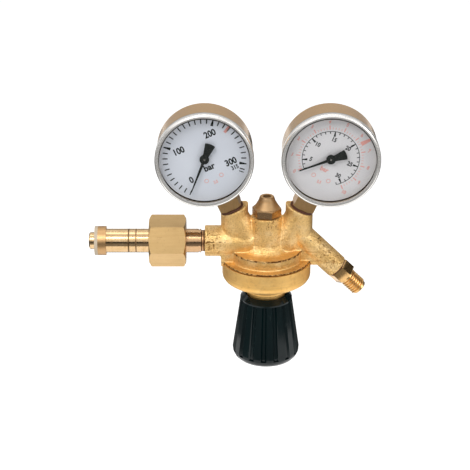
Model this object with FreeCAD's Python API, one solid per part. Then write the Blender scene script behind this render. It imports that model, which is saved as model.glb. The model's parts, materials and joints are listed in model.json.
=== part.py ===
import FreeCAD, Part
import math
import os

Vector = FreeCAD.Vector
Rotation = FreeCAD.Rotation
Placement = FreeCAD.Placement

# A gas cylinder pressure regulator with two dial gauges. Millimetres.
# Origin: centre of the front face of the white inlet seal. +X runs along
# the inlet towards the body, +Z is up, and the dials face -Y.
X = Vector(1, 0, 0)
Y = Vector(0, 1, 0)
Z = Vector(0, 0, 1)

# Clearances
RUN = 0.05
PLAY = 0.3
SEAM = 0.4

# Inlet connector
nose_r = 5.65
nose_length = 3.8
nose_round = 0.8
nose_groove_r = 5.2
seal_r = 9.7
seal_thickness = 2.2
collar_r = 9.7
collar_length = 5.4
stem_r = 7.95
stem_length = 63.0
inlet_bore_r = 2.5
washer_r = 7.1
washer_thickness = 2.4
spigot_r = 6.0
spigot_length = 11.0
groove_depth = 0.5
groove_width = 0.8

# Filter behind the connector
filter_r = 4.4
filter_length = 12.0
filter_wall = 1.2

# Union nut
nut_across_flats = 30.0
nut_length = 24.4
nut_from_seal = 36.2
nut_chamfer = 2.0
nut_thread_r = 10.5
nut_thread_length = 17.0
thrust_ring_thickness = 1.5
thrust_ring_r = 10.2

# Body forging
boss_gap = 30.3
slab_half_depth = 8.6
slab_bottom = -15.2
slab_top = -1.0
slab_round = 3.0
inlet_boss_r = 10.3
inlet_boss_length = 10.7
centre_boss_r = 10.2
centre_boss_top = 18.4
centre_boss_draft = 8.0
centre_boss_flare = 6.0
gauge_boss_r = 8.5
gauge_boss_draft = 2.0
gauge_boss_foot = 8.8
cheek_r = 9.0
cheek_bottom = 0.5
outlet_boss_r = 8.0
outlet_web_half = 6.2
outlet_web_reach = 4.0
outlet_web_drop = 2.0
step_r = 23.6
step_top = -4.8
ledge_setback = 0.5
ledge_top = -12.0
ledge_rim = 0.9
skirt_r = 26.0
skirt_bottom = -19.0
skirt_wall = 6.0
chamber_top = -10.0

# Gauges: where their axes cross the inlet's level, how far up the dials are, and the tilt
gauge_root = 12.34
gauge_reach = 68.9
gauge_tilt = 24.3
gauge_shoulder = 42.2
gauge_washer_thickness = 1.5
gauge_washer_r = 8.0
gauge_thread_r = 6.5
gauge_thread_length = 12.5
gauge_square = 14.0
gauge_stem_chamfer = 1.2
gauge_port_r = 1.3

# Gauge housing, from the stem's axis to the front and the back
case_back = 9.5
case_front = -13.2
case_wall = 1.2
case_round = 2.5
bezel_r = 32.0
bezel_skin = 0.7
bezel_front = -17.6
bezel_rear = -12.6
bezel_lip_width = 3.1
bezel_lip = 0.9
bezel_round = 1.4
window_cover = 1.5
window_thickness = 2.0
dial_gap = 0.5
dial_thickness = 0.6
dial_y = -11.0
dial_hole_r = 2.6

# Gauge movement
pointer_y = -13.6
pointer_thickness = 0.5
pointer_hub_r = 3.1
pointer_hub_thickness = 1.0
pointer_tip_half = 0.35
pointer_root_half = 0.9
high_pointer_length = 24.6
high_tail_length = 11.3
low_pointer_length = 22.2
low_tail_length = 10.6
tail_half = 3.4
tail_root_half = 1.4
zero_angle = 225.0
arbor_r = 0.7
pinion_r = 1.6
pinion_teeth = 12
pinion_overhang = 0.4
tooth_rise = 0.3
tooth_fall = 0.4
teeth_before_mesh = 1
teeth_after_mesh = 10
sector_ratio = 8.0
sector_thickness = 1.0
sector_y = -4.6
plate_thickness = 1.0
front_plate_y = -7.4
back_plate_y = 1.2
plate_half_width = 7.0
plate_top = 5.0
pillar_r = 1.6
pillar_offset = 5.0
sector_offset = 3.6
sector_pin_r = 0.8
tail_pin_r = 0.5
tail_length = 8.0
tail_angle = 105.0
link_half_width = 1.4
link_thickness = 0.6
tube_mean_r = 21.5
tube_half_width = 1.2
tube_half_depth = 3.6
tube_wall = 0.4
tube_start = 192.0
tube_end = 472.0
tube_tip = 4.0
socket_top = -17.5
socket_depth = 4.5

# Relief valve between the gauges
relief_across_flats = 17.0
relief_hex_height = 5.5
relief_spin = 49.0
relief_thread_r = 7.0
relief_thread_length = 6.5
relief_bore_r = 4.2
relief_bore_top = 27.4
relief_cap_r = 4.8
relief_cap_top = 32.0
relief_cone_foot_r = 8.2
relief_cone_top = 29.1
relief_cone_top_r = 5.6
relief_cap_edge = 0.4
relief_vent_r = 2.7
relief_gasket_r = 7.8
relief_gasket_thickness = 0.6
relief_floor = 11.0
relief_seat_thickness = 2.2
relief_port_r = 1.4
relief_poppet_r = 3.6
relief_poppet_length = 3.0
relief_spring_r = 2.9
relief_spring_wire = 0.7
relief_spring_turns = 6.0
relief_passage_y = 6.2
relief_passage_r = 1.2

# High pressure valve
inlet_chamber_r = 4.0
inlet_chamber_top = 8.4
cartridge_r = 6.0
cartridge_top = -3.2
cartridge_across_flats = 15.0
cartridge_head = 4.0
nozzle_r = 2.4
nozzle_height = 1.0
nozzle_bore_r = 1.7
poppet_r = 3.3
poppet_length = 5.0
poppet_stub_r = 1.3
poppet_stub_length = 3.0
poppet_seal_r = 2.6
poppet_seal_thickness = 1.0
poppet_pin_r = 0.9
poppet_spring_r = 2.4
poppet_spring_wire = 0.6
poppet_spring_turns = 4.0
low_port_r = 1.5

# Every coil spring's path is drawn with this many steps a turn
coil_steps = 12

# Diaphragm stack
diaphragm_thickness = 1.2
diaphragm_fit = 0.2
slip_ring_thickness = 1.0
plate_r = 14.0
plate_depth = 1.8
spring_guide_r = 5.4
spring_guide_length = 2.0
stud_r = 2.5
upper_plate_r = 9.0
upper_plate_depth = 1.2
stud_nut_flats = 8.0
stud_nut_height = 2.4
pin_gap = 0.1

# Bonnet
bonnet_wall = 3.5
bonnet_wall_bottom = -22.5
bonnet_round = 5.0
bonnet_slope = 28.0
neck_collar_r = 13.5
neck_collar_bottom = -36.0
neck_r = 13.0
neck_bottom = -52.0
neck_bore_r = 10.6
neck_bore_bottom = -47.0
bonnet_shoulder = 5.5
bonnet_cone_top = -25.0
bonnet_cone_bottom = -33.5
neck_edge = 0.6

# Adjusting spring, its lower plate and the screw
spring_r = 7.3
spring_wire = 3.4
spring_turns = 3.6
spring_plate_r = 9.6
spring_plate_top = -43.6
spring_plate_depth = 2.8
screw_r = 5.95
screw_tip_r = 4.0
screw_tip_depth = 1.4
screw_bottom = -76.0
screw_flat_depth = 0.9

# Knob
knob_top = -37.4
knob_chamfer_bottom = -40.6
knob_top_r = 17.4
knob_ring_bottom = -41.6
knob_wide = -78.3
knob_wide_r = 22.6
knob_round = 8.0
knob_rim_angle = 15.0
knob_bore_r = 14.3
knob_bore_bottom = -57.0
knob_ribs = 16
knob_spin = 6.5
rib_depth = 1.3
rib_share = 0.56
rib_flank = 0.12

# Outlet connector
outlet_angle = 44.5
outlet_pivot_u = 27.6
outlet_boss_end = 27.2
outlet_start = 10.0
outlet_gasket_thickness = 0.6
outlet_gasket_r = 7.2
outlet_across_flats = 14.0
outlet_hex_length = 8.2
outlet_neck_r = 5.2
outlet_neck_length = 1.8
outlet_thread_r = 6.0
outlet_thread_length = 11.8
outlet_thread_chamfer = 0.9
outlet_bore_r = 2.6
outlet_spigot_r = 4.9
outlet_spigot_length = 9.0

# Places that follow from the sizes above
stem_end = seal_thickness + collar_length + stem_length
body_face = stem_end + washer_thickness
case_r = bezel_r - bezel_skin
bezel_opening_r = bezel_r - bezel_lip_width
window_r = bezel_opening_r + window_cover
dial_r = case_r - case_wall - dial_gap
bonnet_r = skirt_r + bonnet_wall
ledge_r = bonnet_r - ledge_setback
chamber_r = skirt_r - skirt_wall
diaphragm_r = skirt_r - diaphragm_fit
bonnet_bore_r = skirt_r - bonnet_shoulder
main_x = body_face + inlet_boss_length + boss_gap
tilt = math.radians(gauge_tilt)
outlet_tilt = math.radians(outlet_angle)
boss_distance = gauge_shoulder + gauge_washer_thickness
cartridge_head_bottom = chamber_top - cartridge_head
nozzle_top = cartridge_top + nozzle_height
diaphragm_bottom = skirt_bottom - diaphragm_thickness
shoulder_z = diaphragm_bottom - slip_ring_thickness
plate_underside = diaphragm_bottom - plate_depth
upper_plate_top = skirt_bottom + upper_plate_depth
stud_top = upper_plate_top + stud_nut_height
relief_seat_z = centre_boss_top + relief_gasket_thickness
window_rear = bezel_front + bezel_lip + window_thickness
sector_distance = pinion_r * (1 + sector_ratio)
sector_r = pinion_r * sector_ratio


def at(u, y, z):
    """Point given from the main vertical axis."""
    return Vector(main_x + u, y, z)


def face_of(points):
    return Part.Face(Part.makePolygon(points + points[:1]))


def turned(profile, base=Vector(0, 0, 0), axis=Z):
    """Solid of revolution from (radius, distance along the axis) points."""
    face = face_of([Vector(r, 0, d) for r, d in profile])
    solid = face.revolve(Vector(0, 0, 0), Z, 360)
    solid.Placement = Placement(base, Rotation(Z, axis))
    return solid


def rounding(centre_r, centre_d, r, start, end, steps):
    """Points of a profile's rounded corner, between two angles in degrees."""
    points = []
    for k in range(steps + 1):
        a = math.radians(start + (end - start) * k / steps)
        points.append((centre_r + r * math.cos(a), centre_d + r * math.sin(a)))
    return points


def rod(r, start, end, base=Vector(0, 0, 0), axis=Z):
    """Cylinder between two distances along an axis."""
    return Part.makeCylinder(r, end - start, base + axis * start, axis)


def ring(outer, inner, start, end, base=Vector(0, 0, 0), axis=Z):
    return rod(outer, start, end, base, axis).cut(rod(inner, start, end, base, axis))


def hexagon(flats, start, end, base=Vector(0, 0, 0), axis=Z, spin=0.0):
    """Hexagonal prism; spin turns it about its own axis, in degrees."""
    corner = flats / math.sqrt(3)
    points = []
    for k in range(6):
        angle = math.radians(60 * k + spin)
        points.append(Vector(corner * math.cos(angle), corner * math.sin(angle), start))
    solid = face_of(points).extrude(Vector(0, 0, end - start))
    solid.Placement = Placement(base, Rotation(Z, axis))
    return solid


def chamfer_cone(flats, chamfer, start, end, base=Vector(0, 0, 0), axis=Z, both=True):
    """Turned blank that rounds off the corners of a hexagon at its ends."""
    corner = flats / math.sqrt(3)
    crown = flats / 2 - 0.2
    drop = (corner - crown) * math.tan(math.radians(30))
    top = min(chamfer, drop)
    profile = [(0, start), (crown if both else corner + 1, start)]
    if both:
        profile.append((corner + 0.01, start + top))
    profile += [(corner + 0.01, end - top), (crown, end), (0, end)]
    return turned(profile, base, axis)


def coil(mean_r, wire, turns, bottom, top, base):
    """Compression spring between two planes, lofted along its helix."""
    half = wire / 2
    rise = top - bottom - wire
    count = int(turns * coil_steps)
    sections = []
    for k in range(count + 1):
        angle = 2 * math.pi * k / coil_steps
        out = Vector(math.cos(angle), math.sin(angle), 0)
        middle = base + out * mean_r + Z * (bottom + half + rise * k / count)
        corners = [middle + out * (a * half) + Z * (b * half)
                   for a, b in ((-1, -1), (1, -1), (1, 1), (-1, 1))]
        sections.append(Part.makePolygon(corners + corners[:1]))
    return Part.makeLoft(sections, True, True)


# Inlet

def inlet_stem():
    groove_at = seal_thickness + collar_length + stem_length - 2 * groove_width
    profile = [
        (inlet_bore_r, -nose_length), (nose_r - nose_round, -nose_length),
        (nose_r, nose_round - nose_length), (nose_r, 0), (nose_groove_r, 0),
        (nose_groove_r, seal_thickness), (collar_r, seal_thickness),
        (collar_r, seal_thickness + collar_length), (stem_r, seal_thickness + collar_length),
        (stem_r, groove_at), (stem_r - groove_depth, groove_at),
        (stem_r - groove_depth, groove_at + groove_width), (stem_r, groove_at + groove_width),
        (stem_r, stem_end), (spigot_r, stem_end), (spigot_r, body_face + spigot_length),
        (inlet_bore_r, body_face + spigot_length),
    ]
    return turned(profile, axis=X)


def inlet_seal():
    return ring(seal_r, nose_groove_r, 0, seal_thickness, axis=X)


def inlet_washer():
    return ring(washer_r, spigot_r, stem_end, body_face, axis=X)


def inlet_filter():
    start = body_face + spigot_length
    cup = rod(filter_r, start, start + filter_length, axis=X)
    return cup.cut(rod(filter_r - filter_wall, start, start + filter_length - filter_wall, axis=X))


def union_nut():
    end = nut_from_seal + nut_length
    blank = hexagon(nut_across_flats, nut_from_seal, end, axis=X, spin=0)
    blank = blank.common(chamfer_cone(nut_across_flats, nut_chamfer, nut_from_seal, end, axis=X))
    blank = blank.cut(rod(stem_r + RUN, nut_from_seal, end, axis=X))
    shoulder = nut_from_seal + nut_thread_length
    return blank.cut(rod(nut_thread_r, nut_from_seal, shoulder, axis=X))


def thrust_ring():
    shoulder = nut_from_seal + nut_thread_length
    return ring(thrust_ring_r, stem_r + RUN, shoulder - thrust_ring_thickness, shoulder, axis=X)


# Body

def gauge_frame(side):
    """Dial centre and direction up the dial; side is -1 left, 1 right."""
    up = Vector(side * math.sin(tilt), 0, math.cos(tilt))
    return at(side * gauge_root, 0, 0) + up * gauge_reach, up


def outlet_line():
    return at(outlet_pivot_u, 0, 0), Vector(math.cos(outlet_tilt), 0, -math.sin(outlet_tilt))


def body_core():
    """Centre boss flared into the round flange, with the threaded skirt."""
    flare = centre_boss_flare
    slope = math.tan(math.radians(centre_boss_draft))
    foot_r = centre_boss_r + (centre_boss_top - step_top - flare) * slope
    foot = rounding(foot_r + flare, step_top + flare, flare, 180 + centre_boss_draft, 270, 3)
    profile = [(0, skirt_bottom), (0, centre_boss_top), (centre_boss_r, centre_boss_top)]
    profile += foot
    profile += [
        (step_r, step_top), (step_r, ledge_top), (ledge_r, ledge_top),
        (ledge_r, ledge_top - ledge_rim), (skirt_r, ledge_top - ledge_rim),
        (skirt_r, skirt_bottom),
    ]
    return turned(profile, at(0, 0, 0))


def gauge_boss(side):
    """Tapered boss under a gauge, and the upright cheek beside it."""
    centre, up = gauge_frame(side)
    length = gauge_reach - boss_distance + gauge_boss_foot
    foot = centre - up * (boss_distance + length)
    foot_r = gauge_boss_r + length * math.tan(math.radians(gauge_boss_draft))
    cone = Part.makeCone(foot_r, gauge_boss_r, length, foot, up)
    line = at(side * (boss_gap - cheek_r), 0, 0)
    cheek = rod(cheek_r, cheek_bottom + cheek_r, gauge_reach, line)
    cheek = cheek.fuse(Part.makeSphere(cheek_r, line + Z * (cheek_bottom + cheek_r)))
    keep = rod(3 * cheek_r, 0, 3 * cheek_r, centre - up * boss_distance, up * -1)
    return cone.fuse(cheek.common(keep))


def slab():
    """Block below the inlet boss, beside the flange."""
    block = Part.makeBox(boss_gap, 2 * slab_half_depth, slab_top - slab_bottom,
                         at(-boss_gap, -slab_half_depth, slab_bottom))
    edges = [e for e in block.Edges if abs(e.CenterOfMass.z - slab_top) < 1e-6
             and abs(e.CenterOfMass.y) > 1]
    return block.makeFillet(slab_round, edges)


def outlet_boss():
    pivot, along = outlet_line()
    boss = rod(outlet_boss_r, -outlet_start, outlet_boss_end, pivot, along)
    web = face_of([
        at(0, -outlet_web_half, slab_bottom),
        at(boss_gap + outlet_web_reach, -outlet_web_half, slab_bottom),
        at(boss_gap + 2 * outlet_web_reach, -outlet_web_half, slab_bottom - outlet_web_drop),
        at(boss_gap + 2 * outlet_web_reach, -outlet_web_half, -outlet_web_reach),
        at(0, -outlet_web_half, outlet_web_reach),
    ]).extrude(Vector(0, 2 * outlet_web_half, 0))
    return boss.fuse(web)


def body_bores():
    """Everything drilled, bored or tapped into the forging."""
    rim_top = ledge_top - ledge_rim
    tools = [
        ring(bonnet_r + PLAY, skirt_r, skirt_bottom, rim_top, at(0, 0, 0)),
        rod(chamber_r, skirt_bottom, chamber_top, at(0, 0, 0)),
        rod(cartridge_r, chamber_top, cartridge_top, at(0, 0, 0)),
        rod(inlet_chamber_r, cartridge_top, inlet_chamber_top, at(0, 0, 0)),
        rod(relief_thread_r, relief_floor, centre_boss_top, at(0, 0, 0)),
        rod(relief_thread_r + 0.5, relief_floor, relief_floor + 1.5, at(0, 0, 0)),
        rod(relief_passage_r, chamber_top, relief_floor, at(0, relief_passage_y, 0)),
        rod(spigot_r, body_face, body_face + spigot_length, axis=X),
        rod(filter_r, body_face, body_face + spigot_length + filter_length, axis=X),
        rod(inlet_bore_r, body_face, main_x, axis=X),
    ]
    for side in (-1, 1):
        centre, up = gauge_frame(side)
        top = boss_distance
        tools.append(rod(gauge_thread_r, top, top + gauge_thread_length + 1.5, centre, up * -1))
    centre, up = gauge_frame(-1)
    tools.append(rod(gauge_port_r, boss_distance, gauge_reach, centre, up * -1))
    centre, up = gauge_frame(1)
    floor = centre - up * (boss_distance + gauge_thread_length)
    drop = Vector(floor.x, 0, 0)
    tools.append(rod(low_port_r, chamber_top, floor.z, drop))
    pivot, along = outlet_line()
    reach = (pivot.x - floor.x) / math.cos(outlet_tilt)
    tools.append(rod(outlet_bore_r, -reach, outlet_boss_end, pivot, along))
    start = outlet_boss_end - outlet_spigot_length
    tools.append(rod(outlet_spigot_r, start, outlet_boss_end, pivot, along))
    return tools


def body():
    forging = body_core().fuse([
        slab(), gauge_boss(-1), gauge_boss(1), outlet_boss(),
        rod(inlet_boss_r, body_face, main_x - cheek_r, axis=X),
    ])
    return forging.removeSplitter().cut(body_bores())


# Valve between the high and the low pressure side

def valve_cartridge():
    base = at(0, 0, 0)
    head = hexagon(cartridge_across_flats, cartridge_head_bottom, chamber_top, base)
    barrel = rod(cartridge_r, chamber_top, cartridge_top, base)
    nozzle = rod(nozzle_r, cartridge_top, nozzle_top, base)
    bore = rod(nozzle_bore_r, cartridge_head_bottom, nozzle_top, base)
    return head.fuse([barrel, nozzle]).removeSplitter().cut(bore)


def poppet_seal():
    return ring(poppet_seal_r, poppet_pin_r, nozzle_top, nozzle_top + poppet_seal_thickness,
                at(0, 0, 0))


def poppet():
    start = nozzle_top
    recess = start + poppet_seal_thickness
    shoulder = start + poppet_length
    return turned([
        (0, recess), (poppet_seal_r, recess), (poppet_seal_r, start), (poppet_r, start),
        (poppet_r, shoulder), (poppet_stub_r, shoulder),
        (poppet_stub_r, shoulder + poppet_stub_length), (0, shoulder + poppet_stub_length),
    ], at(0, 0, 0))


def poppet_pin():
    top = nozzle_top + poppet_seal_thickness
    return rod(poppet_pin_r, stud_top + pin_gap, top, at(0, 0, 0))


def poppet_spring():
    return coil(poppet_spring_r, poppet_spring_wire, poppet_spring_turns,
                nozzle_top + poppet_length, inlet_chamber_top, at(0, 0, 0))


# Diaphragm stack

def diaphragm():
    return ring(diaphragm_r, stud_r, diaphragm_bottom, skirt_bottom, at(0, 0, 0))


def slip_ring():
    return ring(diaphragm_r, bonnet_bore_r, shoulder_z, diaphragm_bottom, at(0, 0, 0))


def diaphragm_plate():
    return turned([
        (0, plate_underside - spring_guide_length),
        (spring_guide_r - 0.5, plate_underside - spring_guide_length),
        (spring_guide_r, plate_underside - spring_guide_length + 0.5),
        (spring_guide_r, plate_underside), (plate_r, plate_underside),
        (plate_r, diaphragm_bottom), (stud_r, diaphragm_bottom),
        (stud_r, stud_top), (0, stud_top),
    ], at(0, 0, 0))


def diaphragm_washer():
    return ring(upper_plate_r, stud_r, skirt_bottom, upper_plate_top, at(0, 0, 0))


def diaphragm_nut():
    nut = hexagon(stud_nut_flats, upper_plate_top, stud_top, at(0, 0, 0))
    return nut.cut(rod(stud_r, upper_plate_top, stud_top, at(0, 0, 0)))


# Bonnet

def bonnet():
    """Threaded cap: rounded rim, cone and the neck that guides the screw."""
    corner = rounding(bonnet_r - bonnet_round, bonnet_wall_bottom, bonnet_round,
                      0, bonnet_slope - 90, 3)
    end_r, end_z = corner[-1]
    collar_top = end_z - (end_r - neck_collar_r) * math.tan(math.radians(bonnet_slope))
    bevel = neck_collar_r - neck_r
    rim_top = ledge_top - ledge_rim - SEAM
    profile = [(bonnet_r, rim_top)] + corner
    profile += [
        (neck_collar_r, collar_top), (neck_collar_r, neck_collar_bottom + bevel),
        (neck_r, neck_collar_bottom), (neck_r, neck_bottom + neck_edge),
        (neck_r - neck_edge, neck_bottom), (screw_r + RUN, neck_bottom),
        (screw_r + RUN, neck_bore_bottom), (neck_bore_r, neck_bore_bottom),
        (neck_bore_r, bonnet_cone_bottom), (bonnet_bore_r, bonnet_cone_top),
        (bonnet_bore_r, shoulder_z), (skirt_r, shoulder_z), (skirt_r, rim_top),
    ]
    return turned(profile, at(0, 0, 0))


# Pressure setting

def adjusting_spring():
    return coil(spring_r, spring_wire, spring_turns, spring_plate_top, plate_underside,
                at(0, 0, 0))


def spring_plate():
    under = spring_plate_top - spring_plate_depth
    guide = spring_plate_top + spring_guide_length
    plate = turned([
        (0, under), (spring_plate_r, under), (spring_plate_r, spring_plate_top),
        (spring_guide_r, spring_plate_top), (spring_guide_r, guide - 0.5),
        (spring_guide_r - 0.5, guide), (0, guide),
    ], at(0, 0, 0))
    return plate.cut(rod(screw_tip_r + RUN, under, under + screw_tip_depth, at(0, 0, 0)))


def adjusting_screw():
    tip = spring_plate_top - spring_plate_depth + screw_tip_depth
    shoulder = spring_plate_top - spring_plate_depth - PLAY
    screw = turned([
        (0, tip), (screw_tip_r, tip), (screw_tip_r, shoulder), (screw_r, shoulder),
        (screw_r, screw_bottom), (0, screw_bottom),
    ], at(0, 0, 0))
    flat = Part.makeBox(2 * screw_r, screw_flat_depth, knob_bore_bottom - screw_bottom,
                        at(-screw_r, screw_r - screw_flat_depth, screw_bottom))
    return screw.cut(flat)


def knob_rib_wire(outer_r, z):
    """Closed outline of the ribbed grip at one height."""
    inner_r = outer_r - rib_depth
    pitch = 2 * math.pi / knob_ribs
    points = []
    for k in range(knob_ribs):
        middle = k * pitch - math.pi / 2 + math.radians(knob_spin)
        crest = rib_share * pitch / 2
        foot = crest + pitch * rib_flank
        for r, angle in ((inner_r, -foot), (outer_r, -crest), (outer_r, crest), (inner_r, foot)):
            a = middle + angle
            points.append(at(r * math.cos(a), r * math.sin(a), z))
    return Part.makePolygon(points + points[:1])


def knob():
    """Ribbed grip between a bevelled crown and a rounded, smooth rim."""
    rim = rounding(knob_wide_r - knob_round, knob_wide, knob_round, -knob_rim_angle, -90, 4)
    rim_r, rim_z = rim[0]
    levels = ((knob_top_r, knob_ring_bottom), (knob_wide_r, knob_wide), (rim_r, rim_z))
    grip = Part.makeLoft([knob_rib_wire(r, z) for r, z in levels], True, True)
    crown = turned([
        (0, knob_ring_bottom), (knob_top_r, knob_ring_bottom), (knob_top_r, knob_chamfer_bottom),
        (knob_bore_r, knob_top), (0, knob_top),
    ], at(0, 0, 0))
    foot = turned([(0, rim_z)] + rim + [(0, knob_wide - knob_round)], at(0, 0, 0))
    solid = crown.fuse([grip, foot])
    solid = solid.cut(rod(knob_bore_r, knob_bore_bottom, knob_top, at(0, 0, 0)))
    return solid.cut(adjusting_screw())


# Relief valve

def relief_body():
    hex_top = relief_seat_z + relief_hex_height
    base = at(0, 0, 0)
    flats = relief_across_flats
    head = hexagon(flats, relief_seat_z, hex_top, base, spin=relief_spin)
    head = head.common(chamfer_cone(flats, 1.0, relief_seat_z, hex_top, base, both=False))
    cone = turned([
        (0, relief_seat_z), (relief_cone_foot_r, relief_seat_z), (relief_cone_foot_r, hex_top),
        (relief_cone_top_r, relief_cone_top), (relief_cap_r, relief_cap_top - relief_cap_edge),
        (relief_cap_r - relief_cap_edge, relief_cap_top), (0, relief_cap_top),
    ], base)
    foot = relief_seat_z - relief_thread_length
    thread = rod(relief_thread_r, foot, relief_seat_z, base)
    bore = rod(relief_bore_r, foot, relief_bore_top, base)
    vent = rod(relief_vent_r, relief_bore_top, relief_cap_top, base)
    return head.fuse([cone, thread]).removeSplitter().cut([bore, vent])


def relief_gasket():
    return ring(relief_gasket_r, relief_thread_r, centre_boss_top, relief_seat_z, at(0, 0, 0))


def relief_seat():
    foot = relief_seat_z - relief_thread_length
    return ring(relief_bore_r, relief_port_r, foot, foot + relief_seat_thickness, at(0, 0, 0))


def relief_poppet():
    start = relief_seat_z - relief_thread_length + relief_seat_thickness
    top = start + relief_poppet_length
    stub_r = relief_spring_r - relief_spring_wire
    return turned([
        (0, start), (relief_poppet_r, start), (relief_poppet_r, top), (stub_r, top),
        (stub_r, top + 2), (0, top + 2),
    ], at(0, 0, 0))


def relief_spring():
    start = relief_seat_z - relief_thread_length + relief_seat_thickness + relief_poppet_length
    return coil(relief_spring_r, relief_spring_wire, relief_spring_turns, start,
                relief_bore_top, at(0, 0, 0))


# Outlet

def outlet_gasket():
    pivot, along = outlet_line()
    end = outlet_boss_end + outlet_gasket_thickness
    return ring(outlet_gasket_r, outlet_spigot_r, outlet_boss_end, end, pivot, along)


def outlet_connector():
    pivot, along = outlet_line()
    start = outlet_boss_end + outlet_gasket_thickness
    hex_end = start + outlet_hex_length
    neck_end = hex_end + outlet_neck_length
    end = neck_end + outlet_thread_length
    foot = outlet_boss_end - outlet_spigot_length
    flats = outlet_across_flats
    head = hexagon(flats, start, hex_end, pivot, along, spin=30)
    head = head.common(chamfer_cone(flats, 1.0, start, hex_end, pivot, along))
    shaft = turned([
        (outlet_bore_r, foot), (outlet_spigot_r, foot), (outlet_spigot_r, start),
        (outlet_neck_r, start), (outlet_neck_r, neck_end),
        (outlet_thread_r, neck_end + 0.5), (outlet_thread_r, end - outlet_thread_chamfer),
        (outlet_thread_r - outlet_thread_chamfer, end), (outlet_bore_r, end),
    ], pivot, along)
    bore = rod(outlet_bore_r, start, hex_end, pivot, along)
    return head.cut(bore).fuse(shaft).removeSplitter()


# Gauges, drawn with the dial's centre at zero, then put in place

def gauge_case():
    k = case_round
    inner = case_r - case_wall
    profile = [(0, case_back - case_wall), (0, case_back)]
    profile += rounding(case_r - k, case_back - k, k, 90, 0, 3)
    profile += [(case_r, case_front), (inner, case_front), (inner, case_back - case_wall)]
    shell = turned(profile, axis=Y)
    half = gauge_square / 2 + RUN
    slot = Part.makeBox(2 * half, 2 * half, case_r, Vector(-half, -half, -gauge_shoulder))
    return shell.cut(slot)


def gauge_bezel():
    k = bezel_round
    lip = bezel_front + bezel_lip
    profile = [(bezel_opening_r, lip), (bezel_opening_r, bezel_front)]
    profile += rounding(bezel_r - k, bezel_front + k, k, -90, 0, 2)
    profile += [
        (bezel_r, bezel_rear), (case_r, bezel_rear), (case_r, case_front),
        (window_r, case_front), (window_r, lip),
    ]
    return turned(profile, axis=Y)


def gauge_window():
    return rod(window_r, bezel_front + bezel_lip, window_rear, axis=Y)


def gauge_dial():
    return ring(dial_r, dial_hole_r, dial_y, dial_y + dial_thickness, axis=Y)


def gauge_stem():
    half = gauge_square / 2
    inside = socket_top
    block = Part.makeBox(2 * half, 2 * half, gauge_shoulder + inside,
                         Vector(-half, -half, -gauge_shoulder))
    edge = half + 0.4
    foot = turned([
        (0, -gauge_shoulder), (edge, -gauge_shoulder),
        (half * math.sqrt(2), -gauge_shoulder + gauge_stem_chamfer),
        (half * math.sqrt(2), inside), (0, inside),
    ])
    block = block.common(foot)
    waist = Part.makeBox(2 * half, 2 * half, gauge_shoulder + inside,
                         Vector(-half, socket_depth - 2 * half - 0.1, -case_r + case_wall + 1))
    block = block.cut(waist.cut(Part.makeBox(
        2 * half, 2 * socket_depth, gauge_shoulder,
        Vector(-half, -socket_depth, -gauge_shoulder))))
    thread = rod(gauge_thread_r, -gauge_shoulder - gauge_thread_length, -gauge_shoulder)
    port = rod(gauge_port_r, -gauge_shoulder - gauge_thread_length, -tube_mean_r)
    start = polar(tube_mean_r, tube_start)
    cross = rod(tube_half_width - tube_wall, start.x - 1, 0, Vector(0, 0, start.z), X)
    tools = [port, cross, bourdon_blank(0, tube_end)]
    return block.fuse(thread).removeSplitter().cut(tools)


def gauge_washer():
    return ring(gauge_washer_r, gauge_thread_r, -boss_distance, -gauge_shoulder)


def polar(r, angle, y=0.0):
    """Point on the dial: angle in degrees, clockwise from the top."""
    a = math.radians(angle)
    return Vector(r * math.sin(a), y, r * math.cos(a))


def bourdon_blank(wall, end):
    """Curved flat tube; wall is the skin taken off its sides."""
    w = tube_half_width - wall
    d = tube_half_depth - wall
    radial = polar(1, tube_start)
    middle = polar(tube_mean_r, tube_start)
    corners = [middle + radial * (a * w) + Y * (b * d)
               for a, b in ((-1, -1), (1, -1), (1, 1), (-1, 1))]
    return face_of(corners).revolve(Vector(0, 0, 0), Y, end - tube_start)


def bourdon_tube():
    return bourdon_blank(0, tube_end).cut(bourdon_blank(tube_wall, tube_end - tube_tip))


def place_gauge(solid, side):
    centre, up = gauge_frame(side)
    solid.Placement = Placement(centre, Rotation(Y, side * gauge_tilt)).multiply(solid.Placement)
    return solid


def tooth_points(r, middle, pitch, y):
    """Outline of one tooth about its own centre line, angles in degrees."""
    root = r - tooth_fall
    tip = r + tooth_rise
    return [polar(level, middle + share * pitch, y)
            for level, share in ((root, -0.22), (tip, -0.08), (tip, 0.08), (root, 0.22))]


# The movement: the sector pivots below and right of the arbor
def sector_pivot():
    return Vector(sector_offset, 0, -math.sqrt(sector_distance ** 2 - sector_offset ** 2))


def movement_frame():
    """Two plates held apart by two pillars, bored for the arbor and sector."""
    pivot = sector_pivot()
    depth = back_plate_y + plate_thickness - front_plate_y
    solid = None
    for y in (front_plate_y, back_plate_y):
        plate = Part.makeBox(2 * plate_half_width, plate_thickness, plate_top - socket_top,
                             Vector(-plate_half_width, y, socket_top))
        solid = plate if solid is None else solid.fuse(plate)
    for side, height in ((-1, socket_top + 2 * pillar_r), (1, plate_top - 2 * pillar_r)):
        base = Vector(side * pillar_offset, front_plate_y, height)
        solid = solid.fuse(Part.makeCylinder(pillar_r, depth, base, Y))
    solid = solid.removeSplitter()
    holes = [
        rod(arbor_r + RUN, -depth, depth, Vector(0, front_plate_y, 0), Y),
        rod(sector_pin_r + RUN, -depth, depth, Vector(pivot.x, front_plate_y, pivot.z), Y),
    ]
    return solid.cut(holes)


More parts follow.
